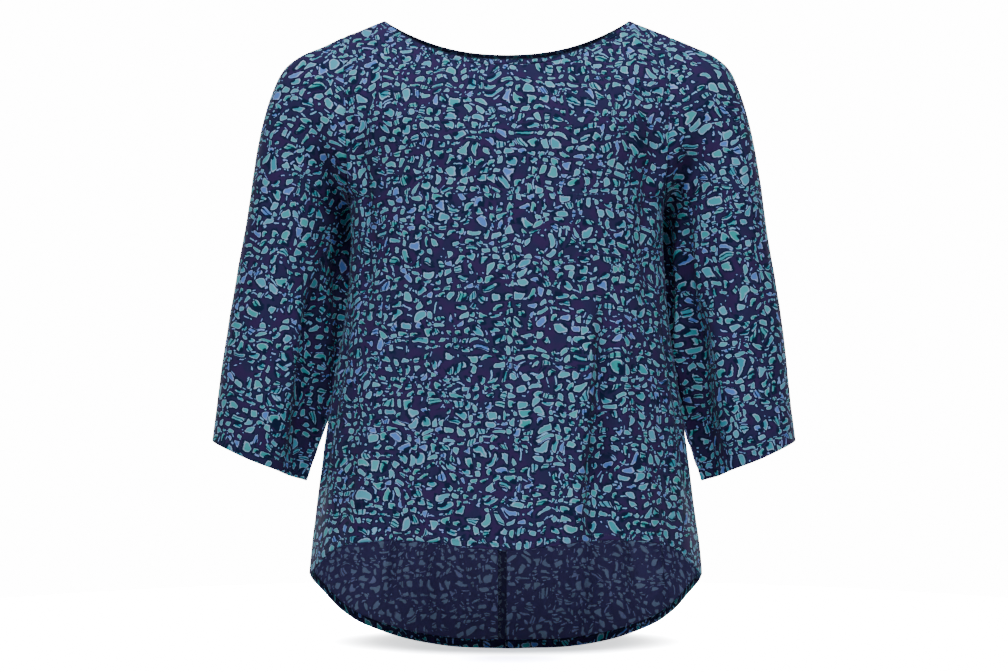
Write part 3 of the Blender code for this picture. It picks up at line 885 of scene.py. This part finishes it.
def neckBinding(name):
    # the profile is inset and outward, from the outer fold round the edge of the neck to the inner fold
    tall = binding["tall"]
    profile = [(tall + 0.7, -0.5), (tall + 0.4, 0.1), (tall, 0.34), (tall * 0.6, 0.4), (tall * 0.3, 0.36),
               (1.2, 0.3), (0.45, -0.1), (0.05, -0.75), (0.45, -1.35), (1.2, -1.75), (tall * 0.3, -1.8),
               (tall * 0.6, -1.82), (tall - 0.5, -1.75), (tall - 0.4, -1.3)]
    grid = []
    for inset, out in profile:
        ring, normal = neckRing(inset)
        ring = ring + normal * out * mm
        grid.append(np.concatenate([ring, ring[:1]]))
    grid = np.array(grid)
    heights = np.cumsum([0, *np.linalg.norm(np.diff(profile, axis=0), axis=1)]) * mm
    flat = np.stack(np.broadcast_arrays(runAlong(grid, 1)[:1], heights[:, None]), -1)
    piece = meshOf(name + "_cloth", grid, flat, bindingCloth)
    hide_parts(name)
    return piece, flat


neckPiece, neckFlat = neckBinding("neck_binding")
print("neck binding made")


def hemRun(panel, raised):
    row = cloth["hemRows"] - 1
    normal = panel["normal"][row]
    return panel["points"][row] + normal * raised * mm, normal * np.sign(raised)


lift = 0.05  # of the hem stitches off the cloth
hemRuns = [hemRun(panel, raised) for raised in (lift, -cloth["hemThick"] - lift) for panel in panels]
stitches("hem_stitches", hemRuns, hemThread)
ring, normal = neckRing(binding["stitchFromEdge"])
neckRuns = [(ring + normal * binding["stitchOutside"] * mm, normal),
            (ring - normal * binding["stitchInside"] * mm, -normal)]
neckStitches = stitches("neck_stitches", neckRuns, hemThread)
stitches("overlock_stitches", seamRuns, overlockThread, pitch=3.4, length=4.6, slant=0.75)
print("stitches made")

for panel in panels:
    size, area = panel["size"], panel["area"]
    print(panel["name"], "cut", [round(float(v), 3) for v in size], "area", round(area, 4))
size = neckFlat.reshape(-1, 2).max(0)

studio = {
    "floorZ": -0.7455,
    "floorRadius": 1.1,
    "white": 0.6,
    "spaceSeen": 15.0,  # the space and the floor as the camera sees them, so that they come out white
    "floorSeen": 150.0,
    "paintedShadowSeen": 4.2,  # the floor in the middle of the painted shadow behind the hem
    "paintedShadowPatch": (0.25, 0.29, 0.165),  # half its width, how far behind, half its depth
    "space": 0.1,
    "lights": {  # place, size, watts
        "left_light": ((-1.7, -2.1, 1.5), (1.1, 1.2), 36.5),
        "right_light": ((1.7, -2.1, 1.5), (1.1, 1.2), 32.5),
        "top_light": ((0.0, -1.2, 1.5), (1.0, 0.6), 29.0),
        "low_light": ((0.0, -3.4, -0.5), (2.4, 0.4), 4.2),
        "back_left_light": ((-2.3, 2.4, -0.1), (1.4, 1.1), 54.0),
        "back_right_light": ((2.4, 2.3, -0.1), (1.4, 1.1), 48.0),
    },
    "aim": (0, 0, -0.36),
    "camera": (-0.0034, -3.0, -0.3621),
    "lens": 93.5,
}


def grey(value):
    return (value, value, value, 1)


def studioFloor():
    # a pale round floor, with a painted shadow on it for the camera alone: a soft darker patch behind the
    # hem
    count = 96
    turns = np.arange(count) * 2 * pi / count
    rings = np.linspace(0.2, 1, 5) * studio["floorRadius"]
    points = [(0, 0, studio["floorZ"])]
    points += [(r * np.cos(t), r * np.sin(t), studio["floorZ"]) for r in rings for t in turns]
    faces = [(0, 1 + k, 1 + (k + 1) % count) for k in range(count)]
    for ring in range(len(rings) - 1):
        for k in range(count):
            a, b = 1 + ring * count + k, 1 + ring * count + (k + 1) % count
            faces.append((a, a + count, b + count, b))
    mesh = bpy.data.meshes.new("floor")
    mesh.from_pydata(points, [], faces)
    floor = bpy.data.objects.new("floor", mesh)
    bpy.context.scene.collection.objects.link(floor)
    material, _, wire = newMaterial("studio_paper")
    place = wire.add("SeparateXYZ", None, {"Vector": wire.add("TexCoord", out="Object")})
    # painted shadow: the floor as the camera sees it goes darker towards the middle of the patch
    wide, behind, deep = studio["paintedShadowPatch"]
    off = (place / wide) ** 2.0 + ((place.out("Y") - behind) / deep) ** 2.0
    seen = (off.fade(0.2, 1.35) ** 2.0).mixed(grey(studio["paintedShadowSeen"]), grey(studio["floorSeen"]))
    white = wire.add("LightPath", out="Is Camera Ray").mixed(grey(studio["white"]), seen)
    paper = wire.add("BsdfDiffuse", None, {"Color": white})
    wire.tree.links.new(paper.socket, wire.tree.nodes["Material Output"].inputs["Surface"])
    mesh.materials.append(material)


def softLight(name, place, size, watts):
    light = bpy.data.lights.new(name, "AREA")
    light.shape = "RECTANGLE"
    light.size, light.size_y = size
    light.energy = watts
    lamp = bpy.data.objects.new(name, light)
    bpy.context.scene.collection.objects.link(lamp)
    lamp.location = place
    aim = Vector(studio["aim"]) - Vector(place)
    lamp.rotation_euler = aim.to_track_quat("-Z", "Y").to_euler()


studioFloor()
for name, (place, size, watts) in studio["lights"].items():
    softLight(name, place, size, watts)
world = bpy.data.worlds.new("studio")
world.use_nodes = True
wire = Wire(world.node_tree)
seen = wire.add("LightPath", out="Is Camera Ray")
strength = studio["space"] + seen * (studio["spaceSeen"] - studio["space"])
world.node_tree.links.new(strength.socket, world.node_tree.nodes["Background"].inputs["Strength"])
world.node_tree.nodes["Background"].inputs["Color"].default_value = (1, 1, 1, 1)
bpy.context.scene.world = world

camera = bpy.data.objects.new("camera", bpy.data.cameras.new("camera"))
camera.data.lens = studio["lens"]
camera.location = studio["camera"]
camera.rotation_euler = (pi / 2, 0, 0)
bpy.context.scene.collection.objects.link(camera)
bpy.context.scene.camera = camera
print("studio ready")
